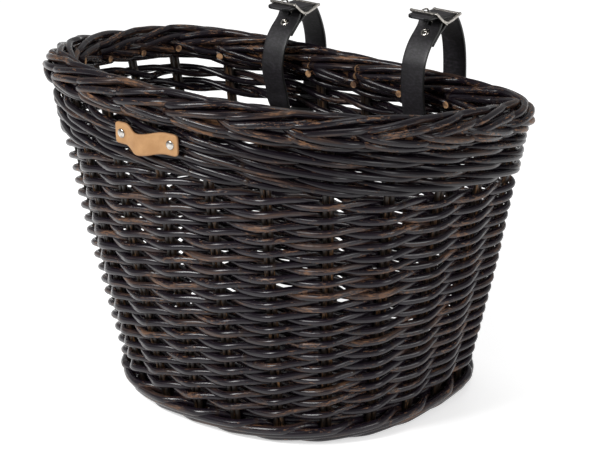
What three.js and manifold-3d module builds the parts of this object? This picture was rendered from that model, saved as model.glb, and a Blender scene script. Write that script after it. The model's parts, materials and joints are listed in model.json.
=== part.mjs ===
// A woven front basket for a bicycle: a D-shaped rattan basket that hangs from the handlebar
// on two leather straps with buckles. Millimetres, +Z up, +Y towards the handlebar.
// The origin is on the ground under the widest line of the basket.
import * as THREE from "three";
import { mergeVertices } from "three/addons/utils/BufferGeometryUtils.js";
import Module from "manifold-3d";

const wasm = await Module();
wasm.setup();

// Driving dimensions
const clearance = 0.3;

// Plan of the wall along the middle of its stakes: half widths and reaches from the widest line.
// A power of 2 is an ellipse, and a higher one is squarer.
const rimPlan = { half: 206, front: 188, back: 104, frontPower: 2.4, backPower: 4 };
const basePlan = { half: 145, front: 140, back: 103, frontPower: 2.4, backPower: 3.2 };
const rimHeightFront = 309;
const rimHeightBack = 263;

// The wall swells a little: halfway up it has already come more than half of the way out.
const bellyRise = 0.5;
const bellyShare = 0.55;

// Stakes: doubled rods that stand in the wall
const stakeCount = 22;
const stakeRod = 4.8;
const stakeFoot = 1;

// Weaving: pairs of rods that twist once between two stakes
const weaverThickness = 6.2;
const weaverHeight = 6;
const roundsPerRod = 3;
const rodPairs = 6;
const weaveDropFront = 60;
const weaveDropBack = 60;
const jointBay = 15.5;

// Upper wale: one rod in front of two stakes and behind the third
const waleHeight = 6;
const walePitch = 9.6;
const waleRounds = 3.5;
const waleStartBay = 16;
const waleTopGap = 0.6;
const waleBackLift = 6;

// Rolled border
const borderRidge = 16.5;
const borderGroove = 13.8;
const borderStrands = 5;
const strandsPerBay = 1;
const borderSteps = 3;
const borderOut = -3;

// Foot and base
const footHeight = 20;
const footGroove = 1.8;
const baseStickCount = 5;
const baseStickWidth = 7;
const baseStickHeight = 4.4;
const baseStickPitch = 48;
const matThickness = 5.2;
const matGroove = 1.6;
const matRodPitch = 12;

// Straps
const strapWidth = 25;
const strapThickness = 2.5;
const strapBay = 2;
const loopRadius = 28;
const loopBelly = 33.5;
const bellyDrop = 5;
const legShoulder = { inner: 16.5, outer: 20.5 };
const legTaper = { inner: 2, lower: 2, upper: 4 };
const buckleHeight = 45.5;
const strapRise = { left: 0, right: 17.5 };
const foldLength = 24;
const foldThroat = 9;
const foldSlope = 41;
const tipReach = 24;

// Buckles
const barRadius = 1.4;
const barSpread = { front: 13.7, rear: 21 };
const barLift = { front: 11.7, rear: 4.5 };
const sidePlate = 2.4;
const sidePlateHeight = 3.8;
const sideGap = 0.5;
const prongWidth = 3.2;
const prongThickness = 1.7;
const prongSlotEnds = { front: 7.5, rear: 6 };

// Rivets
const strapRivet = { along: 14, shank: 1.9, head: 4.2, dome: 1.8, tail: 3.2, flange: 0.8 };
const tagRivet = { shank: 1.4, head: 4, dome: 1.7, tail: 4.4, flange: 1 };

// Leather tag
const tagLength = 69;
const tagHeight = 19;
const tagThickness = 2.2;
const tagShift = 1.8;
const tagSag = 5;
const tagBulge = 3;
const tagRivetSpacing = 54;
const tagWaleRound = 2.5;

// Materials
const rattan = new THREE.MeshStandardMaterial({ color: 0x2b2523, roughness: 0.45, metalness: 0 });
const stakeRattan = new THREE.MeshStandardMaterial({ color: 0x4a3828, roughness: 0.55, metalness: 0 });
const blackLeather = new THREE.MeshStandardMaterial({ color: 0x1d1b1c, roughness: 0.6, metalness: 0 });
const tanLeather = new THREE.MeshStandardMaterial({ color: 0xc79a66, roughness: 0.6, metalness: 0 });
const nickel = new THREE.MeshStandardMaterial({ color: 0xb9b6ae, roughness: 0.25, metalness: 1 });

// The object's own frame
const basket = new THREE.Group();

function addMesh(parent, name, geometry, material) {
  const mesh = new THREE.Mesh(geometry, material);
  mesh.name = name;
  parent.add(mesh);
  return mesh;
}

// Turns every face outwards, by the sign of the enclosed volume.
function facingOut(geometry) {
  const p = geometry.attributes.position;
  const index = geometry.index.array;
  const [a, b, c] = [new THREE.Vector3(), new THREE.Vector3(), new THREE.Vector3()];
  let volume = 0;
  for (let i = 0; i < index.length; i += 3) {
    a.fromBufferAttribute(p, index[i]);
    b.fromBufferAttribute(p, index[i + 1]);
    c.fromBufferAttribute(p, index[i + 2]);
    volume += a.dot(b.cross(c));
  }
  if (volume < 0) {
    for (let i = 0; i < index.length; i += 3) {
      [index[i + 1], index[i + 2]] = [index[i + 2], index[i + 1]];
    }
  }
  geometry.computeVertexNormals();
  return geometry;
}

// A solid through a row of convex sections, either with two end faces or closed into a ring.
// A ring that winds as it goes meets its start some corners further round.
function loft(sections, ring = false, cornersOn = 0) {
  const count = sections[0].length;
  const triangles = [];
  const spans = ring ? sections.length : sections.length - 1;
  for (let i = 0; i < spans; i++) {
    const a = i * count;
    const b = ((i + 1) % sections.length) * count;
    const on = b === 0 ? cornersOn : 0;
    for (let j = 0; j < count; j++) {
      const k = (j + 1) % count;
      const bj = b + ((j + on) % count);
      const bk = b + ((k + on) % count);
      triangles.push(a + j, a + k, bk, a + j, bk, bj);
    }
  }
  if (!ring) {
    const end = (sections.length - 1) * count;
    for (let j = 1; j < count - 1; j++) {
      triangles.push(0, j + 1, j, end, end + j, end + j + 1);
    }
  }
  const geometry = new THREE.BufferGeometry();
  const points = sections.flat().flatMap((point) => point.toArray());
  geometry.setAttribute("position", new THREE.Float32BufferAttribute(points, 3));
  geometry.setIndex(triangles);
  return facingOut(geometry);
}

function solidOf(geometry) {
  const bare = geometry.clone();
  bare.deleteAttribute("normal");
  bare.deleteAttribute("uv");
  const merged = mergeVertices(bare, 1e-4);
  return new wasm.Manifold(
    new wasm.Mesh({
      numProp: 3,
      vertProperties: new Float32Array(merged.attributes.position.array),
      triVerts: new Uint32Array(merged.index.array),
    }),
  );
}

function geometryOf(solid) {
  const mesh = solid.getMesh();
  const geometry = new THREE.BufferGeometry();
  geometry.setAttribute("position", new THREE.Float32BufferAttribute(mesh.vertProperties, 3));
  geometry.setIndex(Array.from(mesh.triVerts));
  geometry.computeVertexNormals();
  return geometry;
}

// A side view drawn in (y, z), given a width along X about the middle.
const sideView = new THREE.Matrix4().makeBasis(
  new THREE.Vector3(0, 1, 0),
  new THREE.Vector3(0, 0, 1),
  new THREE.Vector3(1, 0, 0),
);

function acrossX(shape, width, middle = 0) {
  const geometry = new THREE.ExtrudeGeometry(shape, { depth: width, bevelEnabled: false, curveSegments: 4 });
  geometry.translate(0, 0, middle - width / 2);
  return geometry.applyMatrix4(sideView);
}

// Plan curves, walked by their length: 0 and 1 are the front centre, 0.25 the right side
const planSteps = 1440;

function planTable(plan) {
  const points = [];
  const lengths = [0];
  for (let i = 0; i <= planSteps; i++) {
    const angle = (2 * Math.PI * i) / planSteps - Math.PI / 2;
    const c = Math.cos(angle);
    const s = Math.sin(angle);
    const power = 2 / (s < 0 ? plan.frontPower : plan.backPower);
    const reach = s < 0 ? plan.front : plan.back;
    const x = plan.half * Math.sign(c) * Math.abs(c) ** power;
    const y = reach * Math.sign(s) * Math.abs(s) ** power;
    points.push(new THREE.Vector2(x, y));
    if (i > 0) {
      lengths.push(lengths[i - 1] + points[i].distanceTo(points[i - 1]));
    }
  }
  return { points, lengths };
}

const rimTable = planTable(rimPlan);
const baseTable = planTable(basePlan);

function planPoint(table, share) {
  const turn = share - Math.floor(share);
  const wanted = turn * table.lengths[planSteps];
  let low = 0;
  let high = planSteps;
  while (high - low > 1) {
    const middle = (low + high) >> 1;
    if (table.lengths[middle] <= wanted) {
      low = middle;
    } else {
      high = middle;
    }
  }
  const part = (wanted - table.lengths[low]) / (table.lengths[high] - table.lengths[low]);
  return table.points[low].clone().lerp(table.points[high], part);
}

// A size that changes evenly from the back of the rim to its front.
function backToFront(share, back, front) {
  const y = planPoint(rimTable, share).y;
  return back + ((front - back) * (rimPlan.back - y)) / (rimPlan.front + rimPlan.back);
}

// Height of the border's middle, which rises towards the front.
function rimHeight(share) {
  return backToFront(share, rimHeightBack, rimHeightFront);
}

function wallPlan(share, height) {
  const rise = height / rimHeight(share);
  const below = (rise * bellyShare) / bellyRise;
  const above = 1 - ((1 - rise) * (1 - bellyShare)) / (1 - bellyRise);
  return planPoint(baseTable, share).lerp(planPoint(rimTable, share), Math.min(below, above));
}

// The level direction out of the wall.
function wallNormal(share, height) {
  const step = 0.002;
  const along = wallPlan(share + step, height).sub(wallPlan(share - step, height)).normalize();
  return new THREE.Vector3(along.y, -along.x, 0);
}

function wallPoint(share, height, out = 0) {
  const plan = wallPlan(share, height);
  const point = new THREE.Vector3(plan.x, plan.y, height);
  return point.addScaledVector(wallNormal(share, height), out);
}

// Section points around a place on the wall, each given as [out, up] and leaning with the wall.
function wallSection(share, height, out, outline) {
  return outline.map(([o, up]) => wallPoint(share, height + up, out + o));
}

const stakeHalf = stakeRod / 2;
const stakeShare = (index) => index / stakeCount;

// How far a rod's middle lies from the middle of a stake that it passes. The rod leaves the stake
// at a slant round a corner, and at a steeper one if it weaves, and still clears the stake's edge.
function passOut(share, height, bays, weaves = true) {
  const here = wallPoint(share, height);
  const normal = wallNormal(share, height);
  const step = bays / stakeCount;
  const nextStop = wallPoint(share + step, height).sub(here);
  const lastStop = wallPoint(share - step, height).sub(here);
  const turnIn = Math.max(
    -nextStop.dot(normal) / nextStop.length(),
    -lastStop.dot(normal) / lastStop.length(),
  );
  const weaveIn = weaves ? (2 * bays * (stakeHalf + weaverThickness / 2)) / nextStop.length() : 0;
  const slant = turnIn + weaveIn;
  return stakeHalf + clearance + stakeHalf * slant + (weaverThickness / 2) * Math.hypot(1, slant);
}

const frontFace = passOut(0, rimHeightFront, 0.5) + weaverThickness / 2;

// The border has a ridge straight below its middle at every stake, and a stake ends under the
// flank that rises from this ridge to the next groove.
const flankAcross = borderGroove * Math.sin(Math.PI / borderStrands);
const flankRise = borderRidge - borderGroove * Math.cos(Math.PI / borderStrands);
const stakeAside = Math.abs(borderOut) - stakeHalf;
const stakeEnd = borderRidge - (stakeAside / flankAcross) * flankRise + 2 * clearance;

// Stakes
for (let index = 0; index < stakeCount; index++) {
  const share = stakeShare(index);
  const top = rimHeight(share) - stakeEnd;
  const outline = [
    [stakeRod, 0],
    [stakeHalf, stakeHalf],
    [-stakeHalf, stakeHalf],
    [-stakeRod, 0],
    [-stakeHalf, -stakeHalf],
    [stakeHalf, -stakeHalf],
  ];
  const sections = [stakeFoot, bellyRise * rimHeight(share), top].map((height) => {
    const normal = wallNormal(share, height);
    const along = new THREE.Vector3(-normal.y, normal.x, 0);
    return outline.map(([side, out]) =>
      wallPoint(share, height).addScaledVector(along, side).addScaledVector(normal, out),
    );
  });
  addMesh(basket, `stake_${String(index + 1).padStart(2, "0")}`, loft(sections), stakeRattan);
}

// Pairing: each rod passes outside one stake and inside the next, and its partner the other way.
// Going out it dips under its partner, and coming in it rises over it.
const weaveBottom = footHeight + clearance + weaverHeight;
const pairRounds = roundsPerRod * rodPairs;

function weaveTop(share) {
  return rimHeight(share) - backToFront(share, weaveDropBack, weaveDropFront);
}

function weaveHeight(turn) {
  const level = (turn - jointBay) / (stakeCount * pairRounds);
  return weaveBottom + (weaveTop(stakeShare(turn)) - weaveBottom) * level;
}

// Where the rounds are beaten closer, at the back, the rods are pressed flatter.
function rodHeight(share) {
  const pitch = (weaveTop(share) - weaveBottom) / pairRounds;
  return Math.min(weaverHeight, pitch / 2 - clearance);
}

function weaverOutline(share) {
  const half = rodHeight(share) / 2;
  return [
    [weaverThickness / 2, 0],
    [-weaverThickness / 2, half],
    [-weaverThickness / 2, -half],
  ];
}

function weaverRod(pair, partner) {
  const first = jointBay + partner + pair * roundsPerRod * stakeCount;
  const last = first + roundsPerRod * stakeCount - (pair === rodPairs - 1 ? partner : 0);
  const endGap = 0.02;
  const sections = [];
  for (let turn = first; turn <= last; turn += 0.5) {
    const phase = Math.PI * (turn + partner);
    const end = turn === first ? endGap : turn === last ? -endGap : 0;
    const share = stakeShare(turn + end);
    const height = weaveHeight(turn + end);
    const out = passOut(share, height, 0.5) * Math.cos(phase);
    const up = ((rodHeight(share) + clearance) / 2) * Math.sin(phase);
    sections.push(wallSection(share, height + up, out, weaverOutline(share)));
  }
  return loft(sections);
}

for (let pair = 0; pair < rodPairs; pair++) {
  for (const partner of [0, 1]) {
    addMesh(basket, `weaver_${pair + 1}_${"ab"[partner]}`, weaverRod(pair, partner), rattan);
  }
}

// Upper wale
const waleOutline = [
  [weaverThickness / 2, 0],
  [-weaverThickness / 2, -waleHeight / 2],
  [-weaverThickness / 2, waleHeight / 2],
];

// How far below the border's middle the wale runs, after a number of rounds from its start.
function waleDrop(share, rounds) {
  const highest = borderRidge + waleTopGap + waleHeight / 2;
  const lift = backToFront(share, waleBackLift, 0);
  return highest + walePitch * (waleRounds - rounds) - lift;
}

const waleSections = [];
for (let step = 0; step <= waleRounds * stakeCount; step++) {
  const share = stakeShare(step + waleStartBay);
  const side = step % 3 === 2 ? -1 : 1;
  const height = rimHeight(share) - waleDrop(share, step / stakeCount);
  waleSections.push(wallSection(share, height, side * passOut(share, height, 1), waleOutline));
}
addMesh(basket, "upper_wale", loft(waleSections), rattan);

// Rolled border: the strands wind round the rim, and each bay starts a new one at the bottom
const borderSections = [];
const borderPoints = 2 * borderStrands;
for (let step = 0; step < stakeCount * borderSteps; step++) {
  const share = stakeShare(step / borderSteps);
  const height = rimHeight(share);
  const wind = (-2 * Math.PI * strandsPerBay * step) / (borderSteps * borderStrands);
  const outline = [];
  for (let j = 0; j < borderPoints; j++) {
    const angle = wind + (2 * Math.PI * j) / borderPoints;
    const radius = j % 2 === 0 ? borderRidge : borderGroove;
    outline.push([radius * Math.sin(angle), -radius * Math.cos(angle)]);
  }
  borderSections.push(wallSection(share, height, borderOut, outline));
}
const borderTurn = borderPoints - ((2 * strandsPerBay * stakeCount) % borderPoints);
addMesh(basket, "rolled_border", loft(borderSections, true, borderTurn), rattan);

// Foot: a heavy rod outside the stakes and one inside them
const footOut = (share) => passOut(share, 0, 1, false);
const footOutline = [
  [weaverThickness / 2, 0],
  [weaverThickness / 2 - footGroove, footHeight / 2],
  [weaverThickness / 2, footHeight],
  [-weaverThickness / 2, footHeight],
  [-weaverThickness / 2, 0],
];
for (const [name, side] of [["foot_rod_outer", 1], ["foot_rod_inner", -1]]) {
  const sections = [];
  for (let step = 0; step < stakeCount; step++) {
    const share = stakeShare(step);
    sections.push(wallSection(share, 0, side * footOut(share), footOutline));
  }
  addMesh(basket, name, loft(sections, true), rattan);
}

// Base: a close mat of rods from side to side, on sticks from front to back
const baseShape = new THREE.Shape(
  Array.from({ length: stakeCount }, (_, step) => {
    const share = stakeShare(step);
    const point = wallPoint(share, 0, -footOut(share) - weaverThickness / 2 - clearance);
    return new THREE.Vector2(point.x, point.y);
  }),
);
const baseSpace = solidOf(
  new THREE.ExtrudeGeometry(baseShape, { depth: 4 * footHeight, bevelEnabled: false })
    .translate(0, 0, -footHeight),
);
const matBottom = baseStickHeight + clearance;
const matProfile = new THREE.Shape();
const matRods = Math.ceil((basePlan.front + basePlan.back) / matRodPitch);
matProfile.moveTo(-basePlan.front, matBottom);
for (let rod = 0; rod <= matRods; rod++) {
  const y = -basePlan.front + rod * matRodPitch;
  matProfile.lineTo(y, matBottom + matThickness - matGroove);
  matProfile.lineTo(y + 0.3 * matRodPitch, matBottom + matThickness);
  matProfile.lineTo(y + 0.7 * matRodPitch, matBottom + matThickness);
}
matProfile.lineTo(-basePlan.front + (matRods + 1) * matRodPitch, matBottom);
const mat = solidOf(acrossX(matProfile, 2 * basePlan.half)).intersect(baseSpace);
addMesh(basket, "base_mat", geometryOf(mat), rattan);

for (let index = 0; index < baseStickCount; index++) {
  const x = (index - (baseStickCount - 1) / 2) * baseStickPitch;
  const stick = new THREE.BoxGeometry(baseStickWidth, 2 * basePlan.front + 2 * basePlan.back, baseStickHeight);
  stick.translate(x, 0, baseStickHeight / 2);
  const cut = solidOf(stick).intersect(baseSpace);
  addMesh(basket, `base_stick_${index + 1}`, geometryOf(cut), stakeRattan);
}

// A domed rivet along +Z: its head stands on z = 0 and its tail flange grips the far side.
function rivet(size, grip) {
  const profile = [
    new THREE.Vector2(0, size.dome),
    new THREE.Vector2(0.6 * size.head, 0.75 * size.dome),
    new THREE.Vector2(size.head, 0),
    new THREE.Vector2(size.shank, 0),
    new THREE.Vector2(size.shank, -grip),
    new THREE.Vector2(size.tail, -grip),
    new THREE.Vector2(size.tail, -grip - size.flange),
    new THREE.Vector2(0, -grip - size.flange),
  ];
  return new THREE.LatheGeometry(profile.reverse(), 7).rotateX(Math.PI / 2);
}

// Leather tag at the front. It hangs upright and slack over the wale, lies flat under its two
// rivets, and these pass level between two rounds of the wale.
const rimLength = rimTable.lengths[planSteps];
const tagShare = (along) => (tagShift + along) / rimLength;
const tagSlackHalf = tagRivetSpacing / 2 - tagRivet.head;
const tagSlackSteps = 3;

function tagRivetHeight(share) {
  const rounds = tagWaleRound + 1 + share - waleStartBay / stakeCount;
  return rimHeight(share) - waleDrop(share, rounds);
}

// How far the wall leans out for each millimetre that it rises, at the front.
const frontLean = (rimPlan.front - basePlan.front) / rimHeightFront;
const tagFace = frontFace + clearance + (frontLean * tagHeight) / 2;
const tagStations = [-tagLength / 2, -tagRivetSpacing / 2 - tagRivet.head];
for (let step = -tagSlackSteps; step <= tagSlackSteps; step++) {
  tagStations.push((step / tagSlackSteps) * tagSlackHalf);
}
tagStations.push(tagRivetSpacing / 2 + tagRivet.head, tagLength / 2);

let tag = solidOf(
  loft(
    tagStations.map((along) => {
      const share = tagShare(along);
      const inner = Math.min(Math.abs(along) / tagSlackHalf, 1);
      const slack = Math.cos((Math.PI / 2) * inner) ** 2;
      const half = (Math.abs(along) === tagLength / 2 ? 0.75 : 1) * (tagHeight / 2);
      const face = tagFace + tagBulge * slack;
      const middle = tagRivetHeight(share);
      const outline = [
        [face, -half],
        [face + tagThickness, -half],
        [face + tagThickness, half],
        [face, half],
      ];
      return outline.map(([out, up]) => {
        const point = wallPoint(share, middle, out);
        point.z += up - tagSag * slack;
        return point;
      });
    }),
  ),
);
for (const [name, side] of [["tag_rivet_left", -1], ["tag_rivet_right", 1]]) {
  const share = tagShare((side * tagRivetSpacing) / 2);
  const height = tagRivetHeight(share);
  const outward = wallNormal(share, height);
  const turn = new THREE.Quaternion().setFromUnitVectors(new THREE.Vector3(0, 0, 1), outward);
  const seatOut = tagFace + tagThickness + clearance;
  const seat = wallPoint(share, height, seatOut);
  const bore = tagRivet.shank + clearance;
  const hole = new THREE.CylinderGeometry(bore, bore, 4 * tagThickness, 8);
  hole.rotateX(Math.PI / 2).applyQuaternion(turn).translate(seat.x, seat.y, seat.z);
  tag = tag.subtract(solidOf(hole));
  const grip = seatOut + frontFace + clearance + frontLean * tagRivet.tail;
  const mesh = addMesh(basket, name, rivet(tagRivet, grip), nickel);
  mesh.position.copy(seat);
  mesh.quaternion.copy(turn);
}
addMesh(basket, "leather_tag", geometryOf(tag), tanLeather);

// Straps: each loop is drawn in a side view whose origin is the middle of the border
const degrees = Math.PI / 180;
const foldDown = new THREE.Vector2(-Math.cos(foldSlope * degrees), -Math.sin(foldSlope * degrees));
const foldFace = new THREE.Vector2(foldDown.y, -foldDown.x);
const barAxis = -2;
const bendSteps = 12;

function strapParts(side, rise) {
  const bar = new THREE.Vector2(barAxis, buckleHeight + rise);
  const frontBar = bar.clone().add(new THREE.Vector2(-barSpread.front, barLift.front));
  const rearBar = bar.clone().add(new THREE.Vector2(barSpread.rear, barLift.rear));
  const wrap = barRadius + clearance + strapThickness / 2;
  const layer = (strapThickness + clearance) / 2;
  const onFold = (along, out) => bar.clone().addScaledVector(foldDown, along).addScaledVector(foldFace, out);
  const pivot = new THREE.Vector2(0, clearance + seatLift() - seatDrop(side));

  // The folded end with its flat pad past the rivet, the inner leg, the round under the border,
  // the outer leg and the free end
  const padEnd = strapRivet.along + strapRivet.tail + 2 * clearance;
  const path = [onFold(foldLength, -layer), onFold(padEnd, -layer), onFold(foldThroat, -layer)];
  for (let i = 0; i <= 6; i++) {
    const angle = (Math.PI * i) / 6;
    path.push(onFold(-wrap * Math.sin(angle), -wrap * Math.cos(angle)));
  }
  const innerLeg = new THREE.SplineCurve([
    onFold(foldThroat, layer),
    onFold(foldLength, layer),
    new THREE.Vector2(-loopBelly + legTaper.inner, legShoulder.inner + rise),
    new THREE.Vector2(-loopBelly, rise / 2 - bellyDrop),
    new THREE.Vector2(-loopRadius, pivot.y),
  ]);
  path.push(...innerLeg.getPoints(8));
  for (let i = 1; i < bendSteps; i++) {
    const angle = Math.PI + (Math.PI * i) / bendSteps;
    path.push(new THREE.Vector2(loopRadius * Math.cos(angle), pivot.y + loopRadius * Math.sin(angle)));
  }
  const under = barRadius + clearance + strapThickness / 2;
  const over = wrap + strapThickness + clearance;
  const outerLeg = new THREE.SplineCurve([
    new THREE.Vector2(loopRadius, pivot.y),
    new THREE.Vector2(loopBelly - legTaper.lower, rise / 2 - bellyDrop),
    new THREE.Vector2(loopBelly - legTaper.upper, legShoulder.outer + rise),
    rearBar.clone().add(new THREE.Vector2(-0.35 * under, -under)),
    bar.clone().add(new THREE.Vector2(5, over - 0.6)),
    bar.clone().add(new THREE.Vector2(-1.5, over)),
    frontBar.clone().add(new THREE.Vector2(0.2 * under, -under)),
    frontBar.clone().add(new THREE.Vector2(barSpread.front - tipReach, -under)),
  ]);
  path.push(...outerLeg.getPoints(16));
  return { bar, frontBar, rearBar, pivot, path, layer, onFold };
}

// How far the middle of the strap's lower bend stands above the rod edge that it rests on.
function seatLift() {
  return Math.sqrt((loopRadius + strapThickness / 2) ** 2 - (borderOut + weaverThickness / 2) ** 2);
}

// How far below the border's middle the strap rests on the weave.
function seatDrop(side) {
  const share = strapShare(side);
  const height = weaveHeight(lastTurn(share)) + rodHeight(share) + clearance / 2;
  return rimHeight(share) - height;
}

function strapShare(side) {
  return 0.5 - (side * (strapBay - 0.5)) / stakeCount;
}

// The turn of the topmost round of weaving at a place on the wall.
function lastTurn(share) {
  const end = jointBay + stakeCount * pairRounds;
  const place = share * stakeCount;
  return place + stakeCount * Math.floor((end - place) / stakeCount);
}

function bandShape(path, thickness) {
  const sides = [[], []];
  for (let i = 0; i < path.length; i++) {
    const before = path[Math.max(i - 1, 0)];
    const after = path[Math.min(i + 1, path.length - 1)];
    const along = after.clone().sub(before).normalize();
    const across = new THREE.Vector2(-along.y, along.x).multiplyScalar(thickness / 2);
    sides[0].push(path[i].clone().add(across));
    sides[1].unshift(path[i].clone().sub(across));
  }
  return new THREE.Shape([...sides[0], ...sides[1]]);
}

function bar8(radius, length) {
  return new THREE.CylinderGeometry(radius, radius, length, 8).rotateZ(Math.PI / 2);
}

for (const [name, side] of [["left", -1], ["right", 1]]) {
  const rise = strapRise[name];
  const share = strapShare(side);
  const { bar, frontBar, rearBar, path, layer, onFold } = strapParts(side, rise);
  const loop = new THREE.Group();
  const middle = wallPoint(share, rimHeight(share), borderOut);
  loop.position.copy(middle);
  basket.add(loop);

  // Strap, with the slot for the prong and the hole for the rivet
  const slotLength = prongSlotEnds.front + prongSlotEnds.rear;
  const slot = new THREE.BoxGeometry(prongWidth + 2 * sideGap, slotLength, 6 * wrapDepth());
  slot.translate(0, bar.x + (prongSlotEnds.rear - prongSlotEnds.front) / 2, bar.y + 2 * wrapDepth());
  const faceTurn = new THREE.Quaternion().setFromUnitVectors(
    new THREE.Vector3(0, 0, 1),
    new THREE.Vector3(0, foldFace.x, foldFace.y),
  );
  const rivetSeat = onFold(strapRivet.along, layer + strapThickness / 2 + clearance);
  const bore = strapRivet.shank + clearance;
  const rivetHole = new THREE.CylinderGeometry(bore, bore, 6 * strapThickness, 8);
  rivetHole.rotateX(Math.PI / 2).applyQuaternion(faceTurn).translate(0, rivetSeat.x, rivetSeat.y);
  const strap = solidOf(acrossX(bandShape(path, strapThickness), strapWidth))
    .subtract(solidOf(slot))
    .subtract(solidOf(rivetHole));
  addMesh(loop, `${name}_strap`, geometryOf(strap), blackLeather);

  const rivetMesh = addMesh(
    loop,
    `${name}_strap_rivet`,
    rivet(strapRivet, 2 * strapThickness + 3 * clearance),
    nickel,
  );
  rivetMesh.position.set(0, rivetSeat.x, rivetSeat.y);
  rivetMesh.quaternion.copy(faceTurn);

  // Buckle frame: three bars between two bent side plates
  const plateMiddle = (strapWidth + sidePlate) / 2 + sideGap;
  let frame = null;
  for (const place of [frontBar, bar, rearBar]) {
    const rod = bar8(barRadius, 2 * plateMiddle).translate(0, place.x, place.y);
    frame = frame ? frame.add(solidOf(rod)) : solidOf(rod);
  }
  const plate = bandShape([frontBar, bar, rearBar], sidePlateHeight);
  for (const end of [-1, 1]) {
    frame = frame.add(solidOf(acrossX(plate, sidePlate, end * plateMiddle)));
  }
  addMesh(loop, `${name}_buckle_frame`, geometryOf(frame), nickel);

  // Prong: an eye on the middle bar and a tongue that lies on the front bar
  const eyeBore = barRadius + clearance;
  const eye = new THREE.Shape().absarc(bar.x, bar.y, eyeBore + 1.1, 0, 2 * Math.PI);
  eye.holes.push(new THREE.Path().absarc(bar.x, bar.y, eyeBore, 0, 2 * Math.PI));
  const lift = barRadius + clearance + prongThickness / 2;
  const tongue = [
    bar.clone().add(new THREE.Vector2(-1.2, eyeBore + 0.4)),
    bar.clone().add(new THREE.Vector2(-4.5, 6.5)),
    frontBar.clone().add(new THREE.Vector2(5, lift - 1)),
    frontBar.clone().add(new THREE.Vector2(0, lift)),
    frontBar.clone().add(new THREE.Vector2(-4, lift)),
  ];
  const prong = solidOf(acrossX(eye, prongWidth)).add(
    solidOf(acrossX(bandShape(tongue, prongThickness), prongWidth)),
  );
  addMesh(loop, `${name}_buckle_prong`, geometryOf(prong), nickel);
}

function wrapDepth() {
  return barRadius + clearance + strapThickness;
}

export default basket;
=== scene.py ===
import json
import math
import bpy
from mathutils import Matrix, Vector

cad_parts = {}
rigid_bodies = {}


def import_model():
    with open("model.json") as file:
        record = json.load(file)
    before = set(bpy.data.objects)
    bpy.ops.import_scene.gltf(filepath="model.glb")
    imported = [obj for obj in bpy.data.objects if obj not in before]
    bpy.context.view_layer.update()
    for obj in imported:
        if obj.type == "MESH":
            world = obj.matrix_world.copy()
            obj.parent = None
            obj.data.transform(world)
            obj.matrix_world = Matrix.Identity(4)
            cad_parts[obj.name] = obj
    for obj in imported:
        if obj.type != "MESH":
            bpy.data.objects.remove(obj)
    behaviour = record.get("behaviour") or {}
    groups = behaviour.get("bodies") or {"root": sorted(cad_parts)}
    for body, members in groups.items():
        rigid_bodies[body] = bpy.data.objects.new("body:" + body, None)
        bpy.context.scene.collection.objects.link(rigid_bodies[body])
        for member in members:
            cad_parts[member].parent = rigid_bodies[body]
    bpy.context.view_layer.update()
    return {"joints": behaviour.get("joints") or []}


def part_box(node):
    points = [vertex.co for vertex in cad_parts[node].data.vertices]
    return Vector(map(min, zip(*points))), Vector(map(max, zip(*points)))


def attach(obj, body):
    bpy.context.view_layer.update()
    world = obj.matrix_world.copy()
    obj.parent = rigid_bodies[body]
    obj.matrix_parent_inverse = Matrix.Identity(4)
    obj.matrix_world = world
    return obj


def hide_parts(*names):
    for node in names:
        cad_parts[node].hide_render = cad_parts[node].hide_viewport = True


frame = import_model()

from types import SimpleNamespace

import bmesh
import bpy
from mathutils import Matrix, Vector

scene = bpy.context.scene
up = Vector((0, 0, 1))


# Writing node trees as sums

class Wire:
    # an output socket that adds and scales like a number
    def __init__(self, graph, socket):
        self.graph = graph
        self.socket = socket


for method, operation in (("add", "ADD"), ("sub", "SUBTRACT"), ("mul", "MULTIPLY"), ("truediv", "DIVIDE")):
    setattr(Wire, f"__{method}__", lambda self, other, kind=operation: self.graph.calc(kind, self, other))
    setattr(Wire, f"__r{method}__", lambda self, other, kind=operation: self.graph.calc(kind, other, self))


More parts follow.
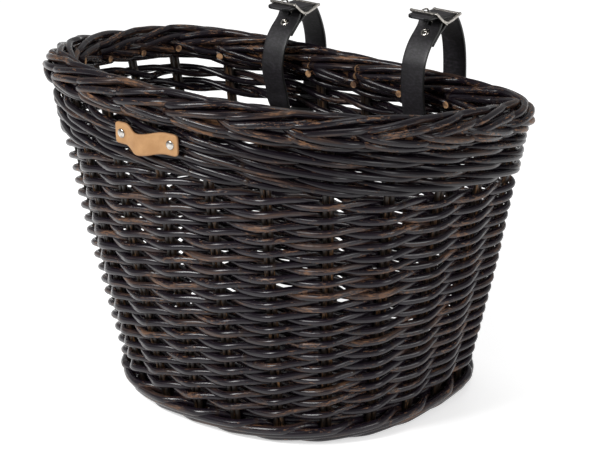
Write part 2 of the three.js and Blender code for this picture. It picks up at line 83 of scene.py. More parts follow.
class Graph:
    def __init__(self, tree):
        self.tree = tree
        self.ids = {}
        self.inlet = None
        self.outlet = None

    def feed(self, socket, value):
        if isinstance(value, Wire):
            self.tree.links.new(value.socket, socket)
        else:
            socket.default_value = value

    def node(self, kind, links=None, **settings):
        made = self.tree.nodes.new(kind)
        for key, value in settings.items():
            setattr(made, key, value)
        for label, value in (links or {}).items():
            named = [s for s in made.inputs if s.enabled and s.name == label]
            self.feed(named[0], value)
        return made

    def take(self, made, label=0):
        if isinstance(label, int):
            return Wire(self, made.outputs[label])
        named = [s for s in made.outputs if s.enabled and s.name == label]
        return Wire(self, named[0])

    def fill(self, made, values):
        for socket, value in zip(made.inputs, values):
            self.feed(socket, value)
        return made

    # the first output of a new node
    def make(self, kind, links=None, **settings):
        return self.take(self.node(kind, links, **settings))

    def calc(self, operation, *values):
        return self.take(self.fill(self.node("ShaderNodeMath", operation=operation), values))

    def vector(self, operation, *values):
        return self.take(self.fill(self.node("ShaderNodeVectorMath", operation=operation), values), "Vector")

    def scaled(self, vector, factor):
        made = self.node("ShaderNodeVectorMath", {"Scale": factor}, operation="SCALE")
        return self.take(self.fill(made, [vector]), "Vector")

    def combine(self, x, y, z):
        return self.make("ShaderNodeCombineXYZ", {"X": x, "Y": y, "Z": z})

    def ramp(self, value, low, high, start=0.0, end=1.0, smooth=True):
        kind = "SMOOTHSTEP" if smooth else "LINEAR"
        made = self.node("ShaderNodeMapRange", interpolation_type=kind)
        return self.take(self.fill(made, (value, low, high, start, end)))

    def noise(self, vector, size, detail=2.0, rough=0.5):
        inputs = {"Vector": vector, "Scale": size, "Detail": detail, "Roughness": rough}
        return self.take(self.node("ShaderNodeTexNoise", inputs), "Fac")

    def stored(self, name, output="Fac"):
        return self.take(self.node("ShaderNodeAttribute", attribute_name=name), output)

    def objectPlace(self):
        return self.take(self.node("ShaderNodeTexCoord"), "Object")

    def given(self, label):
        return Wire(self, self.inlet.outputs[label])

    def give(self, label, wire):
        self.tree.links.new(wire.socket, self.outlet.inputs[label])

    def place(self, group, **values):
        made = self.node(self.tree.bl_idname.replace("Tree", "") + "Group", node_tree=group.tree)
        for label, value in values.items():
            self.feed(made.inputs[label], value)
        return made


socketKinds = {
    int: "NodeSocketInt",
    float: "NodeSocketFloat",
    type(None): "NodeSocketGeometry",
    bpy.types.Material: "NodeSocketMaterial",
    bpy.types.Object: "NodeSocketObject",
}


def newGroup(name, kind, inputs, outputs):
    graph = Graph(bpy.data.node_groups.new(name, kind))
    face = graph.tree.interface
    for label, value in inputs.items():
        item = face.new_socket(label, in_out="INPUT", socket_type=socketKinds[type(value)])
        if isinstance(value, (int, float)):
            item.default_value = value
        graph.ids[label] = item.identifier
    for label, socketKind in outputs.items():
        face.new_socket(label, in_out="OUTPUT", socket_type=socketKind)
    graph.inlet = graph.node("NodeGroupInput")
    graph.outlet = graph.node("NodeGroupOutput")
    return graph


# the input of a setting: rodRadius is set on Rod Radius
def inputName(setting):
    return "".join(" " + letter if letter.isupper() else letter for letter in setting).title()


# leaves a plain mesh in place of the modifiers
def flatten(piece):
    graph = bpy.context.evaluated_depsgraph_get()
    evaluated = piece.evaluated_get(graph)
    made = bpy.data.meshes.new_from_object(evaluated, preserve_all_data_layers=True, depsgraph=graph)
    piece.modifiers.clear()
    piece.data = made


recipes = {}


# grows a piece from a tree that build makes once, with an input for each setting
def grow(name, build, settings, seedMesh=None):
    if build not in recipes:
        inputs = {inputName(setting): value for setting, value in settings.items()}
        graph = newGroup(build.__name__, "GeometryNodeTree", inputs, {"Geometry": "NodeSocketGeometry"})
        own = SimpleNamespace(**{setting: graph.given(inputName(setting)) for setting in settings})
        graph.give("Geometry", build(graph, own))
        recipes[build] = graph
    recipe = recipes[build]
    piece = bpy.data.objects.new(name, seedMesh or bpy.data.meshes.new(name))
    scene.collection.objects.link(piece)
    modifier = piece.modifiers.new(name, "NODES")
    modifier.node_group = recipe.tree
    for setting, value in settings.items():
        if value is not None:
            modifier[recipe.ids[inputName(setting)]] = value
    flatten(piece)
    piece.data.name = name
    print(name, len(piece.data.polygons), "faces")
    return piece


def settle(piece, body, slot, *nodes):
    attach(piece, body)
    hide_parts(*nodes)


# Shared finishes

rodMasks = ("Streak", "Patch", "Scuff", "Knot", "Height")


def makeRodGrain():
    graph = newGroup(
        "rodGrain",
        "ShaderNodeTree",
        {"Patch Length": 0.06, "Patch Amount": 0.3, "Scuff Amount": 0.3, "Knot Spacing": 0.23},
        {mask: "NodeSocketFloat" for mask in rodMasks},
    )
    along = graph.stored("along")
    rod = graph.stored("rod")
    ring = graph.node("ShaderNodeSeparateXYZ", {"Vector": graph.stored("ring", "Vector")})
    ringX = graph.take(ring, "X")
    ringY = graph.take(ring, "Y")
    fibre = graph.combine(ringX, ringY, along * 9.0 + rod * 13.7)
    streak = graph.noise(fibre, 5.0, 4.0, 0.6)
    length = along / graph.given("Patch Length")
    worn = graph.noise(graph.combine(ringX * 0.45, ringY * 0.45, length + rod * 31.3), 1.0, 3.0, 0.6)
    edge = 0.74 - graph.given("Patch Amount") * 0.5
    patch = graph.ramp(worn + (streak - 0.5) * 0.25, edge, edge + 0.2)
    chafe = graph.noise(graph.combine(ringX * 2.2, ringY * 2.2, along * 160.0 + rod * 5.9), 1.0, 4.0, 0.7)
    rub = graph.noise(graph.combine(ringX * 0.4, ringY * 0.4, along * 28.0 + rod * 17.1), 1.0, 2.0, 0.5)
    bound = 0.80 - graph.given("Scuff Amount") * 0.4
    scuff = graph.ramp(chafe * 0.6 + rub * 0.4 + patch * 0.05, bound - 0.02, bound + 0.05)
    turn = graph.calc("FRACT", along / graph.given("Knot Spacing") + rod * 0.37)
    knot = graph.ramp(graph.calc("ABSOLUTE", turn - 0.5), 0.0, 0.013, 1.0, 0.0)
    height = streak * 0.5 + knot * 0.7 - patch * 0.2 - scuff * 0.3
    for mask, wire in zip(rodMasks, (streak, patch, scuff, knot, height)):
        graph.give(mask, wire)
    return graph


def makeLeatherGrain():
    graph = newGroup(
        "leatherGrain",
        "ShaderNodeTree",
        {"Pebbles": 900.0, "Mottles": 60.0},
        {"Mottle": "NodeSocketFloat", "Height": "NodeSocketFloat"},
    )
    place = graph.objectPlace()
    cells = graph.node("ShaderNodeTexVoronoi", {"Vector": place, "Scale": graph.given("Pebbles")})
    pores = graph.noise(place, graph.given("Pebbles") * 1.7, 2.0, 0.6)
    graph.give("Mottle", graph.noise(place, graph.given("Mottles"), 4.0, 0.6))
    graph.give("Height", graph.take(cells, "Distance") * 0.6 + pores * 0.4)
    return graph


rodGrain = makeRodGrain()
leatherGrain = makeLeatherGrain()


def newFinish(name):
    material = bpy.data.materials.new(name)
    material.use_nodes = True
    graph = Graph(material.node_tree)
    shader = next(n for n in material.node_tree.nodes if n.type == "BSDF_PRINCIPLED")
    return material, graph, shader


def colourMix(factor, first, second):
    graph = factor.graph
    made = graph.node("ShaderNodeMix", data_type="RGBA")
    graph.feed(made.inputs[0], factor)
    for socket, value in ((made.inputs[6], first), (made.inputs[7], second)):
        graph.feed(socket, value if isinstance(value, Wire) else (*value, 1))
    return Wire(graph, made.outputs[2])


def coat(shader, colour, rough, height, strength, distance):
    graph = colour.graph
    bump = graph.make("ShaderNodeBump", {"Strength": strength, "Distance": distance, "Height": height})
    for label, wire in (("Base Color", colour), ("Roughness", rough), ("Normal", bump)):
        graph.feed(shader.inputs[label], wire)


rattan = dict(knot=(0.03, 0.018, 0.012), patchLength=0.075, gloss=0.165, wornGloss=0.38)
rattanFinishes = {
    "lacqueredRattan": dict(
        rattan, dark=(0.0050, 0.0036, 0.0064), light=(0.0140, 0.0088, 0.0144), worn=(0.078, 0.042, 0.028),
        scuff=(0.20, 0.098, 0.048), patchAmount=0.44, scuffAmount=0.55, shine=0.37,
    ),
    "borderRattan": dict(
        rattan, dark=(0.0046, 0.0034, 0.0056), light=(0.0112, 0.0072, 0.0112), worn=(0.082, 0.044, 0.027),
        scuff=(0.24, 0.115, 0.052), patchAmount=0.46, scuffAmount=0.57, shine=0.31,
    ),
    # a darker, less shiny copy of the rattan finish for the upper wale: painted shade that stands for the shadow
    # the border casts on the band below it, not a different rattan
    "paintedShadeWaleRattan": dict(
        rattan, dark=(0.0034, 0.0025, 0.0044), light=(0.0090, 0.0057, 0.0094), worn=(0.070, 0.038, 0.026),
        scuff=(0.16, 0.080, 0.042), patchAmount=0.40, scuffAmount=0.50, gloss=0.15, shine=0.27,
    ),
    "stakeRattan": dict(
        rattan, dark=(0.0060, 0.0050, 0.0050), light=(0.022, 0.013, 0.008), worn=(0.120, 0.058, 0.024),
        scuff=(0.30, 0.145, 0.055), patchAmount=0.40, patchLength=0.05, scuffAmount=0.54, gloss=0.34,
        wornGloss=0.5, shine=0.38,
    ),
}


def makeRattan(name, look):
    material, graph, shader = newFinish(name)
    amounts = ("patchLength", "patchAmount", "scuffAmount")
    grain = graph.place(rodGrain, **{inputName(amount): look[amount] for amount in amounts})
    streak, patch, scuff, knot, height = (graph.take(grain, mask) for mask in rodMasks)
    streak = graph.ramp(streak, 0.3, 0.72)
    colour = colourMix(streak, look["dark"], look["light"])
    colour = colourMix(patch * (0.35 + streak * 0.65), colour, look["worn"])
    colour = colourMix(scuff * (0.3 + streak * 0.7), colour, look["scuff"])
    colour = colourMix(knot * 0.6, colour, look["knot"])
    rough = graph.ramp(patch, 0.0, 1.0, look["gloss"], look["wornGloss"], smooth=False)
    coat(shader, colour, rough + streak * 0.10 + scuff * 0.12, height, 0.45, 0.0005)
    shader.inputs["Specular IOR Level"].default_value = look["shine"]
    return material


lacqueredRattan, borderRattan, paintedShadeWaleRattan, stakeRattan = (
    makeRattan(name, look) for name, look in rattanFinishes.items())

cutFinish = dict(pith=(0.30, 0.155, 0.070), pale=(0.62, 0.37, 0.19), stain=(0.085, 0.040, 0.020), gloss=0.6)


def makeCutRattan(look):
    material, graph, shader = newFinish("cutRattan")
    place = graph.objectPlace()
    pores = graph.noise(place, 2400.0, 2.0, 0.6)
    stain = graph.noise(place, 160.0, 2.0, 0.5)
    colour = colourMix(graph.ramp(pores, 0.35, 0.7), look["pith"], look["pale"])
    colour = colourMix(graph.ramp(stain, 0.38, 0.64), colour, look["stain"])
    coat(shader, colour, look["gloss"] + pores * 0.25, pores, 0.4, 0.0003)
    return material


cutRattan = makeCutRattan(cutFinish)

strapFinish = dict(
    dark=(0.0022, 0.0020, 0.0028), sheen=(0.026, 0.0212, 0.0285), edge=(0.003, 0.003, 0.003), gloss=0.42,
    streaksAcross=3.2, streaksAlong=480.0, pebbles=1100.0, mottles=90.0,
)


def makeBlackLeather(look):
    material, graph, shader = newFinish("blackLeather")
    across = graph.stored("across")
    spread = graph.combine(across * look["streaksAcross"], graph.stored("along") * look["streaksAlong"], 0.0)
    lines = graph.noise(spread, 1.0, 4.0, 0.7)
    grain = graph.place(leatherGrain, Pebbles=look["pebbles"], Mottles=look["mottles"])
    mottle = graph.take(grain, "Mottle")
    shade = graph.ramp(lines * 0.8 + mottle * 0.2, 0.42, 0.68)
    colour = colourMix(shade, look["dark"], look["sheen"])
    rim = graph.ramp(graph.calc("ABSOLUTE", across), 0.86, 0.98)
    colour = colourMix(rim, colour, look["edge"])
    height = graph.take(grain, "Height") * 0.35 + lines * 0.65
    coat(shader, colour, look["gloss"] + mottle * 0.2 - rim * 0.12, height, 0.35, 0.0004)
    return material


blackLeather = makeBlackLeather(strapFinish)

tagFinish = dict(
    pale=(0.50, 0.275, 0.118), deep=(0.40, 0.205, 0.078), edge=(0.26, 0.12, 0.048), gloss=0.5,
    pebbles=1500.0, mottles=75.0,
)


def makeTanLeather(look):
    material, graph, shader = newFinish("tanLeather")
    grain = graph.place(leatherGrain, Pebbles=look["pebbles"], Mottles=look["mottles"])
    mottle = graph.take(grain, "Mottle")
    colour = colourMix(graph.ramp(mottle, 0.34, 0.68), look["deep"], look["pale"])
    rim = graph.ramp(graph.stored("edge") + (mottle - 0.5) * 0.5, 0.5, 1.0)
    colour = colourMix(rim * 0.7, colour, look["edge"])
    coat(shader, colour, look["gloss"] + mottle * 0.18, graph.take(grain, "Height"), 0.3, 0.0003)
    return material


tanLeather = makeTanLeather(tagFinish)

nickelFinish = dict(bright=(0.54, 0.51, 0.47), dull=(0.26, 0.245, 0.225), gloss=0.14,
                    scratches=(900.0, 5200.0, 2600.0))


def makeNickel(look):
    material, graph, shader = newFinish("nickel")
    place = graph.objectPlace()
    haze = graph.noise(place, 240.0, 3.0, 0.6)
    scratch = graph.noise(graph.vector("MULTIPLY", place, look["scratches"]), 1.0, 2.0, 0.5)
    colour = colourMix(graph.ramp(haze, 0.35, 0.7), look["bright"], look["dull"])
    coat(shader, colour, look["gloss"] + haze * 0.14, scratch, 0.08, 0.0002)
    shader.inputs["Metallic"].default_value = 1.0
    return material


nickel = makeNickel(nickelFinish)
print("finishes made")


# The wall: plans of rim and base, even along their length from the front middle

wall = dict(
    stakes=22, steps=1440, frontHeight=0.309, backHeight=0.263,
    rim=dict(half=0.206, front=0.188, back=0.104, frontPower=2.4, backPower=4.0),
    base=dict(half=0.145, front=0.140, back=0.103, frontPower=2.4, backPower=3.2),
    bellyRise=0.5, bellyShare=0.55,
)
rimPlan, basePlan = wall["rim"], wall["base"]
rimRise = wall["frontHeight"] - wall["backHeight"]


def planTable(plan):
    points = []
    for step in range(wall["steps"]):
        angle = math.tau * step / wall["steps"] - math.pi / 2
        c, s = math.cos(angle), math.sin(angle)
        power = plan["frontPower"] if s < 0 else plan["backPower"]
        reach = plan["front"] if s < 0 else plan["back"]
        x = plan["half"] * math.copysign(abs(c) ** (2 / power), c)
        y = reach * math.copysign(abs(s) ** (2 / power), s)
        points.append(Vector((x, y, 0)))
    lengths = [0.0]
    for step in range(wall["steps"]):
        lengths.append(lengths[-1] + (points[(step + 1) % wall["steps"]] - points[step]).length)
    return points, lengths


rimTable = planTable(rimPlan)
baseTable = planTable(basePlan)


def makeGuide(name, table):
    curve = bpy.data.curves.new(name, "CURVE")
    curve.dimensions = "3D"
    spline = curve.splines.new("POLY")
    spline.points.add(len(table[0]) - 1)
    for point, place in zip(spline.points, table[0]):
        point.co = (*place, 1)
    spline.use_cyclic_u = True
    guide = bpy.data.objects.new(name, curve)
    scene.collection.objects.link(guide)
    return guide


rimGuide = makeGuide("rimGuide", rimTable)
baseGuide = makeGuide("baseGuide", baseTable)


# the same rule in plain code, for the pieces that are not grown by a tree
def planPoint(table, share):
    points, lengths = table
    target = (share % 1) * lengths[-1]
    low, high = 0, wall["steps"]
    while high - low > 1:
        middle = (low + high) // 2
        low, high = (middle, high) if lengths[middle] <= target else (low, middle)
    part = (target - lengths[low]) / (lengths[low + 1] - lengths[low])
    first, second = points[low], points[(low + 1) % wall["steps"]]
    return first.lerp(second, part), (second - first).normalized()


def rimHeight(share):
    y = planPoint(rimTable, share)[0].y
    return wall["backHeight"] + rimRise * (rimPlan["back"] - y) / (rimPlan["front"] + rimPlan["back"])


def wallPoint(share, height, out=0.0):
    rise = height / rimHeight(share)
    below = rise * wall["bellyShare"] / wall["bellyRise"]
    above = 1 - (1 - rise) * (1 - wall["bellyShare"]) / (1 - wall["bellyRise"])
    rise = min(below, above)
    base, baseAlong = planPoint(baseTable, share)
    rim, rimAlong = planPoint(rimTable, share)
    along = baseAlong.lerp(rimAlong, rise).normalized()
    outward = along.cross(up)
    return base.lerp(rim, rise) + outward * out + up * height, outward


def makeWallPlace():
    graph = newGroup(
        "wallPlace",
        "GeometryNodeTree",
        {"Share": 0.0, "Height": 0.0, "Lift": 0.0, "Out": 0.0, "Aside": 0.0},
        {"Position": "NodeSocketVector", "Rim Height": "NodeSocketFloat", "Frontness": "NodeSocketFloat"},
    )
    share = graph.calc("FRACT", graph.given("Share"))
    ends = []
    for guide in (baseGuide, rimGuide):
        info = graph.node("GeometryNodeObjectInfo", {"Object": guide})
        ends.append(graph.node(
            "GeometryNodeSampleCurve", {"Curves": graph.take(info, "Geometry"), "Factor": share}, mode="FACTOR"))
    base, rim = (graph.take(end, "Position") for end in ends)
    baseAlong, rimAlong = (graph.take(end, "Tangent") for end in ends)
    rimY = graph.take(graph.node("ShaderNodeSeparateXYZ", {"Vector": rim}), "Y")
    frontness = (rimPlan["back"] - rimY) / (rimPlan["front"] + rimPlan["back"])
    top = wall["backHeight"] + frontness * rimRise
    height = graph.given("Height")
    rise = height / top
    below = rise * (wall["bellyShare"] / wall["bellyRise"])
    above = 1.0 - (1.0 - rise) * ((1 - wall["bellyShare"]) / (1 - wall["bellyRise"]))
    rise = graph.calc("MINIMUM", below, above)
    plan = graph.vector("ADD", base, graph.scaled(graph.vector("SUBTRACT", rim, base), rise))
    turn = graph.vector("ADD", baseAlong, graph.scaled(graph.vector("SUBTRACT", rimAlong, baseAlong), rise))
    along = graph.vector("NORMALIZE", turn)
    outward = graph.vector("CROSS_PRODUCT", along, (0, 0, 1))
    place = graph.vector("ADD", plan, graph.scaled(outward, graph.given("Out")))
    place = graph.vector("ADD", place, graph.scaled(along, graph.given("Aside")))
    place = graph.vector("ADD", place, graph.combine(0.0, 0.0, height + graph.given("Lift")))
    graph.give("Position", place)
    graph.give("Rim Height", top)
    graph.give("Frontness", frontness)
    return graph


wallPlace = makeWallPlace()


def onWall(share, **offsets):
    return share.graph.take(share.graph.place(wallPlace, Share=share, **offsets), "Position")


# height of the rim at a share, and how near to the front it lies
def rimAt(share):
    site = share.graph.place(wallPlace, Share=share)
    return share.graph.take(site, "Rim Height"), share.graph.take(site, "Frontness")


def between(first, second, part):
    return first + (second - first) * part


# Rods: bundles of splines, bent by a tree of their own, swept and dressed

rodSides = 10


# straight splines to bend, with the index of the point and of the rod
def rodLines(points, rods):
    graph = points.graph
    line = graph.make("GeometryNodeMeshLine", {"Count": points})
    curve = graph.make("GeometryNodeMeshToCurve", {"Mesh": line})
    copies = graph.node("GeometryNodeDuplicateElements", {"Geometry": curve, "Amount": rods}, domain="SPLINE")
    index = graph.take(graph.node("GeometryNodeSplineParameter"), "Index")
    return graph.take(copies, "Geometry"), index, graph.take(copies, "Duplicate Index")


# slow noise along a rod, up to size to either side
def wander(along, rod, size):
    graph = along.graph
    place = graph.combine(along, rod * 7.31, graph.given("Seed") * 1.7)
    return (graph.noise(place, 1.0, 1.0) - 0.5) * 2.0 * size


def keep(geometry, name, value, kind="FLOAT"):
    inputs = {"Geometry": geometry, "Name": name, "Value": value}
    return geometry.graph.make("GeometryNodeStoreNamedAttribute", inputs, data_type=kind)


# sweeps a round section along the bent splines and keeps where each point lies on its rod
def sweepRods(lines, position, radius, rod):
    graph = lines.graph
    bent = graph.make("GeometryNodeSetPosition", {"Geometry": lines, "Position": position})
    length = graph.take(graph.node("GeometryNodeSplineParameter"), "Length")
    kept = keep(keep(bent, "along", length), "rod", rod + graph.given("Seed"))
    circle = graph.make("GeometryNodeCurvePrimitiveCircle", {"Resolution": graph.given("Sides"), "Radius": 1.0})
    section = keep(circle, "ring", graph.make("GeometryNodeInputPosition"), "FLOAT_VECTOR")
    return graph.make("GeometryNodeCurveToMesh", {
        "Curve": kept, "Profile Curve": section, "Scale": radius, "Fill Caps": True})


# the ends are the faces of more than four corners: flat, and in the cut finish
def dressRods(mesh):
    graph = mesh.graph
    isEnd = graph.node("FunctionNodeCompare", data_type="INT", operation="GREATER_THAN")
    graph.feed(isEnd.inputs[2], graph.take(graph.node("GeometryNodeInputMeshFaceNeighbors"), "Vertex Count"))
    graph.feed(isEnd.inputs[3], 4)
    ends = graph.take(isEnd)
    mesh = graph.make("GeometryNodeSetShadeSmooth", {"Geometry": mesh, "Selection": ends, "Shade Smooth": False})
    mesh = graph.make("GeometryNodeRealizeInstances", {"Geometry": mesh})
    mesh = graph.make("GeometryNodeSetMaterial", {"Geometry": mesh, "Material": graph.given("Finish")})
    return graph.make("GeometryNodeSetMaterial", {
        "Geometry": mesh, "Selection": ends, "Material": graph.given("Cut End")})


def growRods(name, bend, look, finish, *nodes, **more):
    piece = grow(name, bend, {"sides": rodSides, **look, **more, "finish": finish, "cutEnd": cutRattan})
    settle(piece, "basket", "stake_rattan" if finish is stakeRattan else "woven_rattan", *nodes)


# Weaving: pairs of rods that twist once between two stakes, one in front and one behind

pairCount = 6
weave = dict(
    stakes=wall["stakes"], rows=18.0, jointBay=15.5, bottom=0.0254, dropFront=0.0592, dropBack=0.0592,
    rodRadius=0.0032, radiusVaries=0.28, rowGap=0.00004, press=0.288, out=0.0055, outVaries=0.16, kink=0.09,
    wander=0.0012, stepsPerBay=12, seed=3,
)


def wovenPair(graph, own):
    lines, index, partner = rodLines(own.points, 2)
    turn = own.firstBay + partner + index / own.stepsPerBay
    share = turn / own.stakes
    rim, frontness = rimAt(share)
    span = rim - between(own.dropBack, own.dropFront, frontness) - own.bottom
    pitch = span / own.rows
    climb = (turn - own.jointBay) / own.stakes
    thick = 1.0 + wander(turn * 0.07, partner + 5.0, own.radiusVaries)
    radius = graph.calc("MINIMUM", own.rodRadius * thick, pitch * own.press)
    phase = (turn + partner) * math.pi
    # sharper round the stakes and straighter between them
    bow = graph.calc("COSINE", phase) + graph.calc("COSINE", phase * 3.0) * own.kink
    bow = bow * (1.0 + wander(turn * 0.9, partner + 1.0, own.outVaries))
    twist = (pitch / 4 - own.rowGap) * graph.calc("SINE", phase)
    height = own.bottom + pitch * climb + twist
    height = height + wander(turn * 0.45, partner + 3.0, own.wander)
    spot = onWall(share, Height=height, Out=bow * own.out)
    return dressRods(sweepRods(lines, spot, radius, partner * 3.3))


baysPerPair = weave["rows"] * wall["stakes"] / pairCount
for pair in range(pairCount):
    growRods(
        f"wovenRows{pair + 1}", wovenPair, weave, lacqueredRattan, f"weaver_{pair + 1}_a", f"weaver_{pair + 1}_b",
        seed=weave["seed"] + pair, firstBay=weave["jointBay"] + pair * baysPerPair,
        points=round(baysPerPair * weave["stepsPerBay"]) + 1)


# Wales: rods in front of some stakes and behind the next, climbing over each other

upperWale = dict(
    stakes=wall["stakes"], rods=3, frontBays=2.0, firstBay=-6.5, bays=63.5, stepsPerBay=12, fromRim=1.0,
    topLevel=-0.0165, pitchFront=0.0128, pitchBack=0.0135, slopeFront=-0.0060, slopeBack=-0.0030, out=0.0064,
    rollOut=0.0006, rodRadius=0.0031, wander=0.0019, seed=21,
)
footWale = dict(
    stakes=wall["stakes"], rods=4, frontBays=3.0, firstBay=15.5, bays=25.0, stepsPerBay=12, fromRim=0.0,
    topLevel=0.0102, pitchFront=0.0, pitchBack=0.0, slopeFront=0.0058, slopeBack=0.0058, out=0.0056,
    rollOut=0.0034, rodRadius=0.0039, wander=0.0002, seed=41,
)


def waleRods(graph, own):
    lines, index, rod = rodLines(own.points, own.rods)
    turn = own.firstBay + rod + index / own.stepsPerBay
    share = turn / own.stakes
    rim, frontness = rimAt(share)
    front = own.frontBays
    cycle = front + 1.0
    # a stroke lies in front from 0 to the last front bay and then one bay behind
    stroke = graph.calc("FRACT", (turn - rod + 0.5) / cycle) * cycle
    behind = graph.calc("ABSOLUTE", graph.calc("WRAP", stroke - front - 0.5, cycle * 0.5, cycle * -0.5))
    roll = graph.ramp(stroke, 0.4, front - 0.4, 0.0, 1.0) * graph.ramp(stroke, front - 0.4, front + 0.3, 1.0, 0.0)
    out = graph.ramp(behind, 0.0, 1.0, -1.0, 1.0) * own.out + roll * own.rollOut
    rise = graph.ramp(stroke, 0.0, front, -1.0, 1.0, smooth=False) - graph.ramp(stroke, front, cycle, 0.0, 2.0)
    left = (own.firstBay + own.bays - turn) / own.stakes
    level = rim * own.fromRim + own.topLevel - left * between(own.pitchBack, own.pitchFront, frontness)
    height = level + rise * between(own.slopeBack, own.slopeFront, frontness)
    height = height + wander(turn * 0.5, rod + 3.0, own.wander)
    radius = own.rodRadius * (1.0 + wander(turn * 0.08, rod + 9.0, 0.10))
    spot = onWall(share, Height=height, Out=out)
    return dressRods(sweepRods(lines, spot, radius, rod * 2.7))


for name, look, finish, node in (
    # the upper wale takes the darker copy of the rattan finish, with the border's shade painted into its colour
    ("upperWale", upperWale, paintedShadeWaleRattan, "upper_wale"),
    ("footWale", footWale, lacqueredRattan, "foot_rod_outer"),
):
    growRods(name, waleRods, look, finish, node, points=round(look["bays"] * look["stepsPerBay"]) + 1)


# Foot ring: rods inside the stakes, which the mat ends against

footRing = dict(
    rods=3, points=265, level=0.0047, pitch=0.0070, out=-0.0068, rodRadius=0.0043, wander=0.0004, seed=51,
)


def ringRods(graph, own):
    lines, index, rod = rodLines(own.points, own.rods)
    share = index / (own.points - 1.0)
    height = own.level + rod * (own.pitch + wander(share * 30.0, rod, own.wander))
    spot = onWall(share, Height=height, Out=own.out)
    return dressRods(sweepRods(lines, spot, own.rodRadius, rod * 2.1))


growRods("footRing", ringRods, footRing, lacqueredRattan, "foot_rod_inner")


# Border: the stakes' tops plaited in pairs along the rim, with their cut ends turned inside

border = dict(
    stakes=wall["stakes"], strands=22, rodsEach=2, points=84, bays=6.08, waveBays=6.0,
    startPhase=math.radians(165.0), rise=0.0100, lane=0.0032, core=0.0128, rodRadius=0.0033, axisOut=-0.003,
    wander=0.0009, fillRadius=0.0086, fillPoints=265, stubPoints=4, stubDrop=0.006, stubReach=0.0170,
    stubShift=0.22, stubLift=0.008, seed=61,
)


def plaitedBorder(graph, own):
    lines, index, rod = rodLines(own.points, own.strands * own.rodsEach)
    strand = graph.calc("FLOOR", rod / own.rodsEach)
    side = (rod - strand * own.rodsEach) * 2.0 - 1.0
    part = index / (own.points - 1.0)
    loose = wander(strand * 3.7, strand, 0.5)
    bays = part * own.bays
    share = (strand * own.stakes / own.strands + bays) / own.stakes
    # up and down once in a few bays, outside on the way to an edge and inside on the way back
    phase = own.startPhase + bays * math.tau / own.waveBays + loose * 0.5
    sway = wander(part * 7.0, rod + 2.0, own.wander)
    roll = wander(part * 6.0, rod + 6.0, own.wander)
    lift = graph.calc("SINE", phase) * own.rise * (1.0 + loose * 0.3) + side * own.lane + sway
    face = graph.ramp(graph.calc("SINE", phase * 2.0), -0.9, 0.9, -1.0, 1.0)
    depth = graph.calc("SQRT", graph.calc("MAXIMUM", own.core * own.core - lift * lift, 0.0))
    radius = own.rodRadius * (1.0 + wander(part * 1.5, rod + 4.0, 0.12))
    spot = onWall(share, Height=rimAt(share)[0], Lift=lift, Out=own.axisOut + face * depth + roll)
    rods = sweepRods(lines, spot, radius, rod * 1.9)
    # the bent stakes inside the plait, which keep light from passing between the rods
    fill, step, one = rodLines(own.fillPoints, 1)
    around = step / (own.fillPoints - 1.0)
    middle = onWall(around, Height=rimAt(around)[0], Out=own.axisOut)
    inner = sweepRods(fill, middle, own.fillRadius, one)
    # cut tops that poke out towards the inside, one in each bay
    stubs, joint, stub = rodLines(own.stubPoints, own.strands)
    reach = joint / (own.stubPoints - 1.0)
    uneven = wander(stub * 5.3, stub + 8.0, 1.0)
    length = own.stubReach * (1.0 + wander(stub * 2.9, stub + 12.0, 0.16))
    where = (stub + uneven * own.stubShift) / own.strands
    tip = onWall(where, Height=rimAt(where)[0], Lift=uneven * own.stubLift - own.stubDrop,
                 Out=own.axisOut - (0.3 + reach * 0.7) * length)
    ends = sweepRods(stubs, tip, own.rodRadius, stub)
    both = graph.node("GeometryNodeJoinGeometry")
    for mesh in (inner, rods, ends):
        graph.tree.links.new(mesh.socket, both.inputs[0])
    return dressRods(graph.take(both))


growRods("plaitedBorder", plaitedBorder, border, borderRattan, "rolled_border")


# Stakes: two rods side by side from the foot up into the border

stakes = dict(
    stakes=wall["stakes"], rodsEach=2, points=28, foot=0.001, topDrop=0.0092, rodRadius=0.00238, spread=0.00245,
    wander=0.0003, seed=81,
)


def stakeRods(graph, own):
    lines, index, rod = rodLines(own.points, own.stakes * own.rodsEach)
    stake = graph.calc("FLOOR", rod / own.rodsEach)
    side = (rod - stake * own.rodsEach) * 2.0 - 1.0
    share = stake / own.stakes
    part = index / (own.points - 1.0)
    height = own.foot + part * (rimAt(share)[0] - own.topDrop)
    sway = wander(part * 4.0, rod, own.wander)
    radius = own.rodRadius * (1.0 + wander(part * 2.0, rod + 2.0, 0.06))
    spot = onWall(share, Height=height, Out=sway, Aside=side * own.spread)
    return dressRods(sweepRods(lines, spot, radius, rod * 1.3))


growRods("stakes", stakeRods, stakes, stakeRattan, *[f"stake_{n + 1:02d}" for n in range(wall["stakes"])])


# Base: close rods from side to side, over sticks from front to back

baseInside = 0.0095
baseMat = dict(
    points=49, pitch=0.0061, firstRow=0.6, rodRadius=0.0029, level=0.0076, wave=0.0011, stickPitch=0.048,
    half=basePlan["half"] - baseInside, front=basePlan["front"] - baseInside, back=basePlan["back"] - baseInside,
    frontPower=basePlan["frontPower"], backPower=basePlan["backPower"], sides=8, seed=101,
)
baseSticks = dict(count=5, width=0.007, height=0.0044, edge=0.0016, steps=24)


